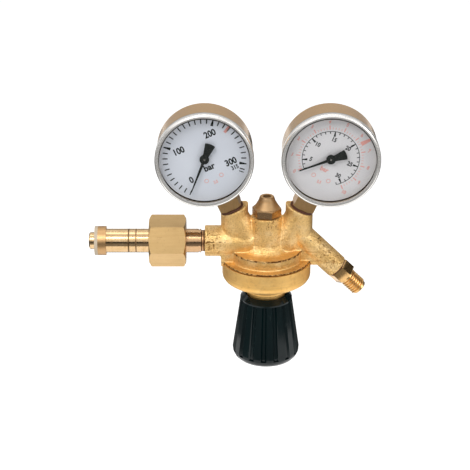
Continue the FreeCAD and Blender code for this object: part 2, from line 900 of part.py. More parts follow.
def sector():
    """Toothed segment with its tail and its own pivot pin."""
    pivot = sector_pivot()
    towards = math.degrees(math.atan2(-pivot.x, -pivot.z))
    pitch = 360.0 / (pinion_teeth * sector_ratio)
    points = [Vector(0, 0, 0)]
    for k in range(-teeth_before_mesh, teeth_after_mesh + 1):
        points += tooth_points(sector_r, towards + k * pitch, pitch, 0)
    fan = face_of(points).extrude(Y * sector_thickness)
    along = polar(1, tail_angle)
    tail = along * tail_length
    side = Vector(-along.z, 0, along.x) * link_half_width
    tip = along * (tail_length + link_half_width)
    arm = face_of([side, tip + side, tip - side, side * -1]).extrude(Y * sector_thickness)
    solid = fan.fuse(arm).removeSplitter()
    solid = solid.cut(Part.makeCylinder(tail_pin_r + RUN, sector_thickness, tail, Y))
    pin_from = front_plate_y - sector_y
    pin_to = back_plate_y + plate_thickness - sector_y
    solid = solid.fuse(rod(sector_pin_r, pin_from, pin_to, axis=Y))
    solid.translate(pivot + Y * sector_y)
    return solid


def link():
    """Flat link from the sector's tail to the tube's tip."""
    y = sector_y - RUN - link_thickness
    hole = sector_pivot() + polar(tail_length, tail_angle)
    run = polar(tube_mean_r, tube_end) - hole
    along = Vector(run.x, 0, run.z).normalize()
    start = hole - along * (2 * tail_pin_r)
    end = hole + run
    start.y = y
    end.y = y
    side = Y.cross(along) * link_half_width
    bar = face_of([start + side, end + side, end - side, start - side])
    bar = bar.extrude(Y * link_thickness)
    hole.y = y
    pin = Part.makeCylinder(tail_pin_r, sector_y + sector_thickness - y, hole, Y)
    return bar.fuse(pin)


def pointer(length, tail):
    """Hand on its hub: tapered blade one way, fan-shaped tail the other."""
    points = [
        Vector(-tail_root_half, 0, 0), Vector(-pointer_root_half, 0, pointer_hub_r),
        Vector(-pointer_tip_half, 0, length - 1), Vector(0, 0, length),
        Vector(pointer_tip_half, 0, length - 1), Vector(pointer_root_half, 0, pointer_hub_r),
        Vector(tail_root_half, 0, 0),
    ]
    spread = math.degrees(math.asin(tail_half / tail))
    points += [polar(tail, 180 + spread * share) for share in (-1, -0.5, 0, 0.5, 1)]
    face = face_of(points)
    hand = face.extrude(Y * pointer_thickness)
    hub = rod(pointer_hub_r, 0, pointer_hub_thickness, axis=Y)
    hand = hand.fuse(hub).removeSplitter()
    hand = hand.cut(rod(arbor_r, 0, pointer_hub_thickness, axis=Y))
    hand.rotate(Vector(0, 0, 0), Y, zero_angle)
    hand.translate(Y * pointer_y)
    return hand


def arbor():
    """Spindle that carries the hand, with the pinion cut on it."""
    spindle = rod(arbor_r, pointer_y - 0.3, back_plate_y + plate_thickness, axis=Y)
    points = []
    step = 360.0 / pinion_teeth
    towards = math.degrees(math.atan2(sector_pivot().x, sector_pivot().z))
    for k in range(pinion_teeth):
        middle = towards + (k + 0.5) * step
        points += tooth_points(pinion_r, middle, step, sector_y - pinion_overhang)
    pinion = face_of(points).extrude(Y * (sector_thickness + 2 * pinion_overhang))
    return spindle.fuse(pinion)


def gauge_parts(prefix, side, pointer_length, tail):
    parts = {
        "case": gauge_case(),
        "bezel": gauge_bezel(),
        "window": gauge_window(),
        "dial": gauge_dial(),
        "stem": gauge_stem(),
        "washer": gauge_washer(),
        "bourdon_tube": bourdon_tube(),
        "movement_frame": movement_frame(),
        "sector": sector(),
        "link": link(),
        "pointer": pointer(pointer_length, tail),
        "arbor": arbor(),
    }
    return {prefix + "_" + name: place_gauge(solid, side) for name, solid in parts.items()}


def all_parts():
    parts = {
        "body": body(),
        "bonnet": bonnet(),
        "inlet_stem": inlet_stem(),
        "inlet_seal": inlet_seal(),
        "inlet_washer": inlet_washer(),
        "inlet_filter": inlet_filter(),
        "union_nut": union_nut(),
        "nut_thrust_ring": thrust_ring(),
        "valve_cartridge": valve_cartridge(),
        "poppet": poppet(),
        "poppet_seal": poppet_seal(),
        "poppet_pin": poppet_pin(),
        "poppet_spring": poppet_spring(),
        "diaphragm": diaphragm(),
        "slip_ring": slip_ring(),
        "diaphragm_plate": diaphragm_plate(),
        "diaphragm_washer": diaphragm_washer(),
        "diaphragm_nut": diaphragm_nut(),
        "adjusting_spring": adjusting_spring(),
        "spring_plate": spring_plate(),
        "adjusting_screw": adjusting_screw(),
        "knob": knob(),
        "relief_body": relief_body(),
        "relief_gasket": relief_gasket(),
        "relief_seat": relief_seat(),
        "relief_poppet": relief_poppet(),
        "relief_spring": relief_spring(),
        "outlet_gasket": outlet_gasket(),
        "outlet_connector": outlet_connector(),
    }
    parts.update(gauge_parts("high_gauge", -1, high_pointer_length, high_tail_length))
    parts.update(gauge_parts("low_gauge", 1, low_pointer_length, low_tail_length))
    return parts


os.makedirs("parts", exist_ok=True)
for name, shape in all_parts().items():
    shape.exportStep("parts/" + name + ".step")
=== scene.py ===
import json
import math

import bpy
from mathutils import Matrix, Vector

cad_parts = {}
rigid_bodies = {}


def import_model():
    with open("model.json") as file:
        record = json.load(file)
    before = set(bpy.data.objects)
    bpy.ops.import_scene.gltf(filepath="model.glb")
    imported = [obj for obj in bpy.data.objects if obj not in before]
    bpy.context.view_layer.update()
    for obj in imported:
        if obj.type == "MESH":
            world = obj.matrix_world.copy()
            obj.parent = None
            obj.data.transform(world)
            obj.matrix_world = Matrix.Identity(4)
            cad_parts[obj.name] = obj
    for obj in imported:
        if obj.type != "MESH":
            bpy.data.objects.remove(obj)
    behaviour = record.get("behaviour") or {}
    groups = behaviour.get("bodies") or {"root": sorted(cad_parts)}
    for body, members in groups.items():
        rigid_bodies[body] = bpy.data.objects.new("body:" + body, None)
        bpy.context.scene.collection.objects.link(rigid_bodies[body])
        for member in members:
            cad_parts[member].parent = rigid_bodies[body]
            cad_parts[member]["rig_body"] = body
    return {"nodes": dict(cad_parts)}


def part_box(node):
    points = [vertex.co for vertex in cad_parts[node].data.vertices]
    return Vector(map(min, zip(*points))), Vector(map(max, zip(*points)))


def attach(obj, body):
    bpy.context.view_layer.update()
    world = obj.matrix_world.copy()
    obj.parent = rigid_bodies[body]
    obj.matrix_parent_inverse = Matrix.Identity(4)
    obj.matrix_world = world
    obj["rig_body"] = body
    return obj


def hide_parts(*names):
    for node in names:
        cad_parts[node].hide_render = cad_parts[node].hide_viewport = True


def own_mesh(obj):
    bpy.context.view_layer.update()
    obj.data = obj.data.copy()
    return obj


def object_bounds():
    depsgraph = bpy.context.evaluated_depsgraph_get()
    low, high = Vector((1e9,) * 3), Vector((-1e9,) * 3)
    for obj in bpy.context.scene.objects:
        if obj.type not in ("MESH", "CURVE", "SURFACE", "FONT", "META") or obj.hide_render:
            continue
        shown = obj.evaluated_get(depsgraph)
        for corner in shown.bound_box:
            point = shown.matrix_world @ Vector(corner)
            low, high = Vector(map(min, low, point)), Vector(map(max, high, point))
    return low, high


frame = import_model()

# A gas cylinder pressure regulator with two dial gauges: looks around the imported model.
MM = 0.001
cad_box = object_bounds()

# Set: the heights of the floor and of the dark cloths on it, and how strongly the room and the
# white paper shine
FLOOR_Z = cad_box[0][2] - 0.08
CLOTH_Z = FLOOR_Z + 0.002
ROOM_LIGHT = 0.42
FLOOR_GLOW = 0.5

# Photograph: elevation of the view, distance, focal length in pixels of the 470 px frame
IMAGE_PX = 470
FOCAL_PX = 1657.0
SENSOR = 36.0
VIEW_ELEVATION = math.radians(24.0)
VIEW_DISTANCE = 1.1
VIEW_AIM = Vector((0.093, 0.0, 0.004))

# Main places, read from the frame
BONNET_LOW, BONNET_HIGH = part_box("bonnet")
MAIN_X = (BONNET_LOW.x + BONNET_HIGH.x) / 2
MAIN_AXIS = Vector((MAIN_X, 0, 0))
WASHER_LOW, WASHER_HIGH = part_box("inlet_washer")
OUTLET_ANGLE = math.radians(44.5)
OUTLET_PIVOT = Vector((MAIN_X + 27.6 * MM, 0, 0))
OUTLET_ALONG = Vector((math.cos(OUTLET_ANGLE), 0, -math.sin(OUTLET_ANGLE)))
GAUGE_TILT = math.radians(24.3)

# Lamps, which all aim at the middle of the body: name, place, size and watts
LAMPS = [
    ("key", (-0.5, -0.9, 1.1), (0.9, 0.7), 12.0),
    ("fill", (1.1, -0.8, 0.5), (0.8, 0.8), 4.5),
    ("top", (0.1, 0.3, 1.2), (1.0, 0.6), 2.4)]

# Dark cards, which show only in the polished metal: name, place, size, turn and shade
LYING = (0, 0, 0)
STANDING = (math.pi / 2, 0, 0)
STANDING_ACROSS = (math.pi / 2, 0, -math.pi / 2)
CARDS = [
    ("front_cloth", (0.1, -1.75, CLOTH_Z), (6.0, 3.0), LYING, 0.22),
    ("left_cloth", (-1.7, 0.4, CLOTH_Z), (3.1, 1.3), LYING, 0.14),
    ("right_cloth", (1.95, 0.4, CLOTH_Z), (3.0, 1.3), LYING, 0.16),
    ("right_back_cloth", (0.32, 0.55, CLOTH_Z), (0.36, 0.9), LYING, 0.1),
    ("knob_cloth", (-0.01, 0.18, CLOTH_Z), (0.18, 0.2), LYING, 0.1),
    ("front_board", (0.1, -3.2, FLOOR_Z + 0.45), (6.0, 0.9), STANDING, 0.04),
    ("front_flag", (0.1, -0.34, 0.73), (4.0, 0.1), (math.radians(-25), 0, 0), 0.02),
    ("back_flag", (0.1, 0.30, 0.74), (4.0, 0.1), (math.radians(22), 0, 0), 0.02),
    ("corner_board", (1.8, 1.7, FLOOR_Z + 0.5), (1.6, 1.0), STANDING, 0.08),
    ("right_board", (1.4, 0.4, FLOOR_Z + 0.7), (1.2, 1.0), STANDING_ACROSS, 0.06),
    ("back_board", (0.1, 1.8, FLOOR_Z + 0.65), (6.0, 1.3), STANDING, 0.75)]

# The flange's two turned steps: radius and height of each upper edge, in millimetres
STEP_EDGE = (23.6, -4.8)
LEDGE_EDGE = (29.0, -12.0)

# The relief valve's hexagon, between these heights
RELIEF_HEX_BASE = 17.0
RELIEF_HEX_TOP = 23.4

# The inlet stem, along its axis: the end collar, two rings of painted shade that stand in for
# grooves, and the duller end
COLLAR_ZONE = (0.5, 7.5)
FIRST_GROOVE_SHADE = (22.3, 22.9)
SECOND_GROOVE_SHADE = (27.2, 27.8)
DULL_END = (60.0, 76.0)

# The forging: voxel of its remesh in millimetres, and rounds of smoothing
CAST_VOXEL = 0.5
CAST_SMOOTHING = 6

# The outlet connector, in millimetres along its axis and from it
OUTLET_START = 27.8
OUTLET_FLATS = 14.0
OUTLET_HEX_END = 36.0
OUTLET_NECK_END = 37.8
OUTLET_END = 49.6
THREAD_CREST_R = 6.0
THREAD_ROOT_R = 5.1
THREAD_PITCH = 1.75
THREAD_RUN_OUT = 1.1
OUTLET_BORE_R = 2.6

# The dial scales, in degrees clockwise from the top of each dial, and the ink's thickness
SCALE_START = 225.0
SCALE_SWEEP = 270.0
PRINT_DEPTH = 0.04

# CAD pieces whose sharp edges are broken: slot and width in millimetres
SOFTENED = [
    ("relief_body", "machined_brass", 0.35),
    ("knob", "knob_plastic", 0.5),
    ("high_gauge_stem", "machined_brass", 0.3),
    ("low_gauge_stem", "machined_brass", 0.3),
    ("bonnet", "machined_brass", 0.3)]

# Springs: the joint that shortens each, and by how many millimetres
SPRINGS = [
    ("adjusting_spring", "setting_slide", 3.75),
    ("poppet_spring", "diaphragm_slide", 0.8),
    ("relief_spring", "relief_slide", 1.2)]

# Colours: painted shade lines and the seam on the forging, painted shade at the copper washer's
# edges, and each dial's light and deep white
BURNT_BROWN = (0.12, 0.04, 0.01)
WASHER_GAP_SHADE = (0.05, 0.02, 0.01)
DIAL_BLUE_WHITE = ((0.80, 0.84, 0.91), (0.70, 0.74, 0.82))
DIAL_WARM_WHITE = ((0.83, 0.82, 0.84), (0.73, 0.72, 0.73))

# Sockets of a Mix node that mixes colours
MIX_FACTOR = 0
MIX_FIRST = 6
MIX_SECOND = 7
MIX_RESULT = 2


# Shader maths

class Value:
    """A shader socket: arithmetic on it adds the Math nodes."""

    def __init__(self, net, socket):
        self.net = net
        self.socket = socket

    def other(self, name):
        """Another output of the same node."""
        return Value(self.net, self.socket.node.outputs[name])

    def math(self, operation, first, second):
        return self.net.node("ShaderNodeMath", {0: first, 1: second}, {"operation": operation})

    def __add__(self, other):
        return self.math("ADD", self, other)

    def __sub__(self, other):
        return self.math("SUBTRACT", self, other)

    def __mul__(self, other):
        return self.math("MULTIPLY", self, other)

    def __radd__(self, other):
        return self.math("ADD", other, self)

    def __rsub__(self, other):
        return self.math("SUBTRACT", other, self)

    def __rmul__(self, other):
        return self.math("MULTIPLY", other, self)


class Net:
    """Nodes of one material or of the world."""

    def __init__(self, tree):
        self.tree = tree

    def join(self, value, socket):
        if isinstance(value, Value):
            self.tree.links.new(value.socket, socket)
        else:
            socket.default_value = value

    def node(self, kind, sockets=None, settings=None, out=0):
        made = self.tree.nodes.new(kind)
        for key, value in (settings or {}).items():
            setattr(made, key, value)
        for key, value in (sockets or {}).items():
            self.join(value, made.inputs[key])
        return Value(self, made.outputs[out])

    def vector_math(self, operation, first, second=None, out="Vector"):
        sockets = {0: first}
        if second is not None:
            sockets[1] = second
        return self.node("ShaderNodeVectorMath", sockets, {"operation": operation}, out)

    def seen_directly(self):
        """1 for what the camera, polished metal and glass see, and 0 for plain light."""
        camera = self.node("ShaderNodeLightPath", out="Is Camera Ray")
        seen = camera + camera.other("Is Glossy Ray")
        return self.node("ShaderNodeMath", {0: seen, 1: camera.other("Is Transmission Ray")},
                         {"operation": "ADD", "use_clamp": True})


class Finish(Net):
    """One material's nodes, with positions in millimetres along the piece's own axis."""

    def __init__(self, name, pivot=(0, 0, 0), turn=(0, 0, 0)):
        self.material = bpy.data.materials.new(name)
        self.material.use_nodes = True
        super().__init__(self.material.node_tree)
        self.shader = self.tree.nodes["Principled BSDF"]
        coordinates = self.node("ShaderNodeTexCoord", out="Object")
        centred = self.vector_math("SUBTRACT", coordinates, pivot)
        self.place = self.node("ShaderNodeMapping", {
            "Vector": centred, "Rotation": turn, "Scale": (1 / MM, 1 / MM, 1 / MM)})

    def noise(self, scale, detail=2.0, stretch=(1, 1, 1), vector=None):
        """Noise with `scale` features a millimetre, stretched along the axes."""
        spread = self.vector_math("MULTIPLY", vector or self.place, stretch)
        return self.node("ShaderNodeTexNoise", {
            "Vector": spread, "Scale": scale, "Detail": detail})

    def between(self, value, low, high):
        """Mask that goes from 0 to 1 as the value goes from `low` to `high`."""
        return self.node("ShaderNodeMapRange", {
            "Value": value, "From Min": low, "From Max": high})

    def patches(self, scale, low, high, detail=2.0, stretch=(1, 1, 1), vector=None):
        """Mask that goes from 0 to 1 where the noise goes from `low` to `high`."""
        return self.between(self.noise(scale, detail, stretch, vector), low, high)

    def blend(self, factor, first, second):
        """Colour that goes from `first` to `second` as the factor goes from 0 to 1."""
        sockets = {MIX_FACTOR: factor}
        for index, colour in ((MIX_FIRST, first), (MIX_SECOND, second)):
            sockets[index] = colour if isinstance(colour, Value) else (*colour, 1)
        return self.node("ShaderNodeMix", sockets, {"data_type": "RGBA"}, MIX_RESULT)

    def part_of_place(self, axis):
        return self.node("ShaderNodeSeparateXYZ", {0: self.place}, out=axis)

    def turned_vector(self):
        """Distance from the piece's own axis, and height along it."""
        flat = self.vector_math("MULTIPLY", self.place, (1, 1, 0))
        radius = self.vector_math("LENGTH", flat, out="Value")
        return self.node("ShaderNodeCombineXYZ", {
            "X": radius, "Y": 0.0, "Z": self.part_of_place("Z")})

    def along_axis(self, start, end, soft=0.3):
        """1 between two heights on the piece's own axis."""
        height = self.part_of_place("Z")
        return self.between(height, start - soft, start) * self.between(height, end + soft, end)

    def from_axis(self, low, high):
        """Goes from 0 to 1 between two distances from the piece's own axis."""
        radius = self.node("ShaderNodeSeparateXYZ", {0: self.turned_vector()}, out="X")
        return self.between(radius, low, high)

    def under_edge(self, edge, width):
        """Line just below a turned edge, which is a distance from the axis and a height."""
        radius, height = edge
        away = self.vector_math("DISTANCE", self.turned_vector(),
                                (radius, 0, height - width * 0.6), "Value")
        return self.between(away, width, width * 0.6)

    def top_of_step(self, edge, low, high):
        """The flat top inside a turned edge, outside the given distances from the axis."""
        height = edge[1]
        return self.along_axis(height - 0.6, height + 0.2, 0.2) * self.from_axis(low, high)

    def bump(self, height, depth, strength=1.0):
        """Relief of `depth` millimetres."""
        return self.node("ShaderNodeBump", {
            "Height": height, "Distance": depth * MM, "Strength": strength})

    def finish(self, **sockets):
        for key, value in sockets.items():
            name = key.replace("_", " ")
            if name == "Base Color" and isinstance(value, tuple):
                value = (*value, 1)
            self.join(value, self.shader.inputs[name])
        return self.material


# Finishes

def spin_turn(direction):
    """Mapping turn that lays the piece's own axis along local Z."""
    return Vector(direction).rotation_difference(Vector((0, 0, 1))).to_euler()


def forged_brass(name):
    """Blasted forging: grainy gold, darker in its pits, with painted shade in a line along the
    turned edges and on the flat tops of its steps.
    """
    net = Finish(name, MAIN_AXIS)
    mottle = net.patches(0.07, 0.35, 0.65, 4.0)
    grain = net.noise(0.9, 3.0)
    bosses = net.from_axis(13.0, 10.0) * net.along_axis(-4.0, 30.0, 2.0) + net.from_axis(30.0, 36.0)
    coarse = bosses * 0.75 + 0.25
    pits = net.patches(0.62, 0.42, 0.33, 3.0) * coarse
    dust = net.patches(1.7, 0.46, 0.36, 2.0) * coarse
    worn = net.patches(0.16, 0.50, 0.62, 4.0)
    fine = net.patches(1.1, 0.46, 0.66, 3.0)
    gold = net.blend(mottle, (0.80, 0.53, 0.20), (1.0, 0.70, 0.31))
    gold = net.blend(fine * 0.4, gold, (0.50, 0.27, 0.08))
    gold = net.blend(worn * 0.4, gold, (1.0, 0.77, 0.42))
    gold = net.blend(dust * 0.7, gold, (0.46, 0.22, 0.05))
    # Painted shade: the flat tops of the flange's two steps are darkened
    step_top_shade = net.top_of_step(STEP_EDGE, 12.0, 16.0) + net.top_of_step(LEDGE_EDGE, 22.5, 24.0)
    gold = net.blend(step_top_shade * 0.6, gold, (0.60, 0.36, 0.13))
    gold = net.blend(pits * 0.85, gold, (0.30, 0.13, 0.03))
    # Painted shade: a dark broken line just below the turned edges of the step and the ledge. The
    # seam is the forging's own dark line.
    edges = net.under_edge(STEP_EDGE, 0.8) + net.under_edge(LEDGE_EDGE, 0.65)
    painted_edge_shade = edges * net.patches(0.5, 0.42, 0.56, 3.0)
    seam = net.along_axis(2.9, 3.4, 0.2) * net.from_axis(27.0, 30.0) * (
        net.patches(0.9, 0.46, 0.54, 2.0, (1, 1, 0.2)))
    gold = net.blend(painted_edge_shade + seam * 0.8, gold, BURNT_BROWN)
    rough = 0.40 + grain * 0.24 + pits * 0.1
    relief = net.bump(grain - pits * 0.7 - dust * 0.4, 0.46, 0.9)
    return net.finish(Base_Color=gold, Metallic=1.0, Roughness=rough, Normal=relief)


def turned_brass(name, pivot, turn, light=(0.88, 0.64, 0.34), deep=(0.72, 0.46, 0.19),
                 rough=0.2, lines=4.0, relief_depth=0.02, line_depth=0.3, zones=()):
    """Lathe-turned brass with fine tool lines round its axis.

    A zone is a stretch of the axis with a colour of its own, and how much duller it is. The stem's
    two rings and the washer's edges are painted shade, and the relief hexagon's colour is painted
    reflection.
    """
    net = Finish(name, pivot, turn)
    around = net.turned_vector()
    tool = net.noise(lines, 3.0, (1, 1, 1), around)
    band = net.patches(lines * 0.22, 0.42, 0.62, 2.0, (1, 1, 1), around)
    tone = net.patches(0.12, 0.3, 0.7, 3.0)
    stain = net.patches(0.35, 0.52, 0.72, 5.0)
    colour = net.blend(tone, deep, light)
    colour = net.blend(band * line_depth, colour, (0.56, 0.32, 0.12))
    gloss = rough + tool * 0.14 + stain * 0.1
    for (start, end), shade, duller in zones:
        zone = net.along_axis(start, end)
        colour = net.blend(zone * 0.9, colour, shade)
        gloss = gloss + zone * duller
    colour = net.blend(stain * 0.3, colour, (0.50, 0.28, 0.10))
    relief = net.bump(tool, relief_depth, 0.6)
    return net.finish(Base_Color=colour, Metallic=1.0, Roughness=gloss, Normal=relief)


def inlet_brass():
    """Polished stem with a duller collar and end, and two dark rings of painted shade that stand in
    for grooves.
    """
    zones = [(COLLAR_ZONE, (0.52, 0.31, 0.14), 0.25),
             # Painted shade: two dark rings where grooves would hold shade
             (FIRST_GROOVE_SHADE, (0.08, 0.04, 0.015), 0.3),
             (SECOND_GROOVE_SHADE, (0.20, 0.11, 0.05), 0.3),
             (DULL_END, (0.60, 0.37, 0.20), 0.05)]
    return turned_brass("inlet_brass", (0, 0, 0), spin_turn((1, 0, 0)), (0.78, 0.56, 0.32),
                        (0.64, 0.43, 0.22), rough=0.08, zones=zones)


def washer_copper():
    """Copper sealing washer, with painted shade at its two edges where it meets its neighbours."""
    start, end = WASHER_LOW.x / MM, WASHER_HIGH.x / MM
    # Painted shade in the gaps at both faces of the washer
    zones = [((start, start + 0.5), WASHER_GAP_SHADE, 0.2), ((end - 0.8, end), WASHER_GAP_SHADE, 0.2)]
    return turned_brass("copper_washer", (0, 0, 0), spin_turn((1, 0, 0)), (0.72, 0.44, 0.24),
                        (0.60, 0.33, 0.16), rough=0.3, zones=zones)


def outlet_brass():
    """Reddish connector, polished on its hexagon."""
    zones = [((OUTLET_START - 1.0, OUTLET_HEX_END), (0.70, 0.43, 0.18), -0.14)]
    return turned_brass("outlet_brass", OUTLET_PIVOT, spin_turn(OUTLET_ALONG),
                        (0.86, 0.56, 0.24), (0.72, 0.42, 0.14), rough=0.24, zones=zones)


def bonnet_brass():
    """Satin gold bonnet."""
    return turned_brass("bonnet_brass", MAIN_AXIS, (0, 0, 0), (0.98, 0.64, 0.23),
                        (0.88, 0.53, 0.16), rough=0.42, lines=3.0, relief_depth=0.03,
                        line_depth=0.2)


def relief_brass():
    """Dull cone above a polished hexagon, whose colour is darkened as painted dark reflection."""
    # Painted reflection: the hexagon is darkened for the dark surroundings its facets mirror
    zones = [((RELIEF_HEX_BASE, RELIEF_HEX_TOP), (0.46, 0.28, 0.14), -0.34)]
    return turned_brass("relief_brass", MAIN_AXIS, (0, 0, 0), (0.55, 0.37, 0.20),
                        (0.46, 0.29, 0.14), rough=0.5, zones=zones)


def brushed_brass(name, along=(0.04, 1, 1), light=(0.68, 0.46, 0.21), deep=(0.54, 0.35, 0.15)):
    """Milled flats with fine straight lines along one direction."""
    net = Finish(name)
    lines = net.noise(2.6, 3.0, along)
    bands = net.patches(0.8, 0.40, 0.60, 3.0, along)
    tone = net.noise(0.10, 3.0)
    fleck = net.patches(0.9, 0.60, 0.68, 3.0)
    colour = net.blend(tone, deep, light)
    colour = net.blend(bands * 0.3, colour, (0.54, 0.33, 0.13))
    colour = net.blend(fleck * 0.3, colour, (0.40, 0.22, 0.08))
    rough = 0.24 + lines * 0.14
    relief = net.bump(lines, 0.05, 0.7)
    return net.finish(Base_Color=colour, Metallic=1.0, Roughness=rough, Normal=relief)


def gauge_case_metal(name, pivot, turn):
    """Polished champagne housing, faintly brushed round, with painted reflection that turns it from
    grey below to warm tan on top.
    """
    net = Finish(name, pivot, turn)
    around = net.turned_vector()
    brush = net.noise(3.0, 3.0, (1, 1, 1), around)
    haze = net.noise(0.15, 3.0)
    # Painted reflection: grey towards the bottom, warm tan towards the top
    top_reflection = net.between(net.part_of_place("Y"), -4.0, 24.0)
    colour = net.blend(top_reflection, (0.42, 0.36, 0.29), (0.84, 0.53, 0.26))
    colour = net.blend(haze * 0.25, colour, (0.68, 0.52, 0.34))
    gloss = 0.16 + brush * 0.1 + haze * 0.06
    return net.finish(Base_Color=colour, Metallic=1.0, Roughness=gloss,
                      Normal=net.bump(brush, 0.01, 0.4))


def bezel_metal(name, pivot, turn):
    """Bright rolled ring, with painted shade on the upper half of its inner lip and at its joint
    with the case, and a painted dark reflection on its lower rim.
    """
    net = Finish(name, pivot, turn)
    rings = net.noise(4.0, 2.0, (1, 1, 1), net.turned_vector())
    haze = net.noise(0.1, 2.0)
    upward = net.part_of_place("Y")
    # Painted shade on the upper inner lip and at the joint with the case, and painted dark
    # reflection on the lower outer rim
    lip_shade = net.from_axis(29.8, 29.3) * net.between(upward, -14.0, 6.0)
    joint = net.along_axis(12.0, 13.0, 0.2)
    rim_reflection = net.from_axis(31.1, 31.6) * net.between(upward, 2.0, -12.0)
    colour = net.blend(haze * 0.4, (0.96, 0.94, 0.91), (0.86, 0.82, 0.76))
    colour = net.blend(lip_shade + joint * 0.8 + rim_reflection * 0.9, colour, (0.03, 0.025, 0.02))
    gloss = 0.22 + rings * 0.05 + haze * 0.04
    return net.finish(Base_Color=colour, Metallic=0.85, Roughness=gloss,
                      Normal=net.bump(rings, 0.006, 0.4))


def bright_steel(name, pivot, turn):
    """Polished steel with very fine rings and a few hairline scratches."""
    net = Finish(name, pivot, turn)
    rings = net.noise(4.0, 2.0, (1, 1, 1), net.turned_vector())
    smear = net.noise(0.2, 4.0)
    hair = net.patches(1.2, 0.64, 0.70, 4.0, (1, 0.08, 1))
    colour = net.blend(smear * 0.35, (0.70, 0.68, 0.64), (0.54, 0.50, 0.44))
    gloss = 0.15 + rings * 0.06 + hair * 0.12 + smear * 0.05
    return net.finish(Base_Color=colour, Metallic=1.0, Roughness=gloss,
                      Normal=net.bump(rings + hair, 0.006, 0.4))


def dark_plastic(name):
    """Glossy black thermoset with faint flow marks and fine scuffs, dull inside its skirt."""
    net = Finish(name, MAIN_AXIS)
    flow = net.noise(0.07, 4.0, (1, 1, 0.4))
    scuff = net.patches(0.9, 0.60, 0.74, 5.0, (1, 1, 0.15))
    peel = net.noise(1.4, 2.0)
    colour = net.blend(flow, (0.001, 0.004, 0.005), (0.002, 0.011, 0.012))
    colour = net.blend(scuff * 0.08, colour, (0.03, 0.05, 0.05))
    inside = net.from_axis(13.2, 12.6)
    gloss = 0.07 + scuff * 0.2 + flow * 0.06 + inside * 0.6
    return net.finish(Base_Color=colour, Roughness=gloss, Specular_IOR_Level=0.28,
                      Normal=net.bump(peel + scuff * 0.4, 0.02, 0.3))


def dial_paint(name, light, deep):
    """Satin white enamel with a soft unevenness."""
    net = Finish(name)
    cloud = net.noise(0.06, 3.0)
    grain = net.noise(3.0, 2.0)
    colour = net.blend(cloud, deep, light)
    return net.finish(Base_Color=colour, Roughness=0.38 + grain * 0.12,
                      Normal=net.bump(grain, 0.004, 0.3))


def printed(name, colour, worn):
    """Printing ink, a little uneven."""
    net = Finish(name)
    patch = net.noise(1.1, 3.0)
    return net.finish(Base_Color=net.blend(patch, colour, worn), Specular_IOR_Level=0.1,
                      Roughness=0.5 + patch * 0.1)


def window_glass(name):
    """Clear window that only shows its reflections."""
    net = Finish(name)
    smudge = net.noise(0.05, 3.0)
    return net.finish(Base_Color=(0.02, 0.02, 0.02), Roughness=0.02 + smudge * 0.03, Alpha=0.06)


def seal_plastic(name, light=(0.66, 0.56, 0.43), deep=(0.50, 0.40, 0.28)):
    """Matte white sealing plastic, lightly soiled."""
    net = Finish(name)
    soil = net.noise(0.4, 4.0)
    grain = net.noise(2.5, 2.0)
    return net.finish(Base_Color=net.blend(soil, deep, light), Roughness=0.5 + grain * 0.12,
                      Normal=net.bump(grain, 0.01, 0.4))


def rubber(name, light=(0.05, 0.045, 0.04), deep=(0.02, 0.018, 0.016)):
    """Dull sheet rubber or fibre, slightly dusty."""
    net = Finish(name)
    dust = net.noise(0.5, 4.0)
    grain = net.noise(3.0, 3.0)
    return net.finish(Base_Color=net.blend(dust, deep, light), Roughness=0.62 + grain * 0.2,
                      Normal=net.bump(grain, 0.03, 0.5))


def spring_steel(name):
    """Grey steel wire with drawn lines and spots of darker scale."""
    net = Finish(name)
    scale = net.patches(0.7, 0.45, 0.65, 4.0)
    drawn = net.noise(3.0, 3.0, (1, 1, 0.3))
    colour = net.blend(scale, (0.50, 0.50, 0.51), (0.30, 0.29, 0.28))
    return net.finish(Base_Color=colour, Metallic=1.0, Roughness=0.3 + scale * 0.2 + drawn * 0.08,
                      Normal=net.bump(drawn, 0.015, 0.5))


# Making and placing pieces

def clear_selection():
    if bpy.context.object and bpy.context.object.mode != "OBJECT":
        bpy.ops.object.mode_set(mode="OBJECT")
    bpy.ops.object.select_all(action="DESELECT")


def select(*pieces):
    clear_selection()
    for piece in pieces:
        piece.select_set(True)
    bpy.context.view_layer.objects.active = pieces[0]


def apply_place(piece):
    select(piece)
    bpy.ops.object.transform_apply(location=True, rotation=True, scale=True)


def joined(pieces, name):
    select(*pieces)
    if len(pieces) > 1:
        bpy.ops.object.join()
    made = bpy.context.object
    made.name = name
    made.data.name = name
    return made


def paint(piece, material):
    piece.data.materials.clear()
    piece.data.materials.append(material)


def copy_of(node, name):
    """A merged copy of a CAD node's mesh, to be worked on."""
    source = frame["nodes"][node]
    made = bpy.data.objects.new(name, source.data.copy())
    bpy.context.scene.collection.objects.link(made)
    select(made)
    bpy.ops.object.mode_set(mode="EDIT")
    bpy.ops.mesh.select_all(action="SELECT")
    bpy.ops.mesh.remove_doubles(threshold=0.002 * MM)
    bpy.ops.mesh.customdata_custom_splitnormals_clear()
    bpy.ops.object.mode_set(mode="OBJECT")
    return made


def add_modifier(piece, kind, **settings):
    modifier = piece.modifiers.new(kind.lower(), kind)
    for key, value in settings.items():
        setattr(modifier, key, value)


def apply_modifiers(piece):
    select(piece)
    for modifier in list(piece.modifiers):
        bpy.ops.object.modifier_apply(modifier=modifier.name)


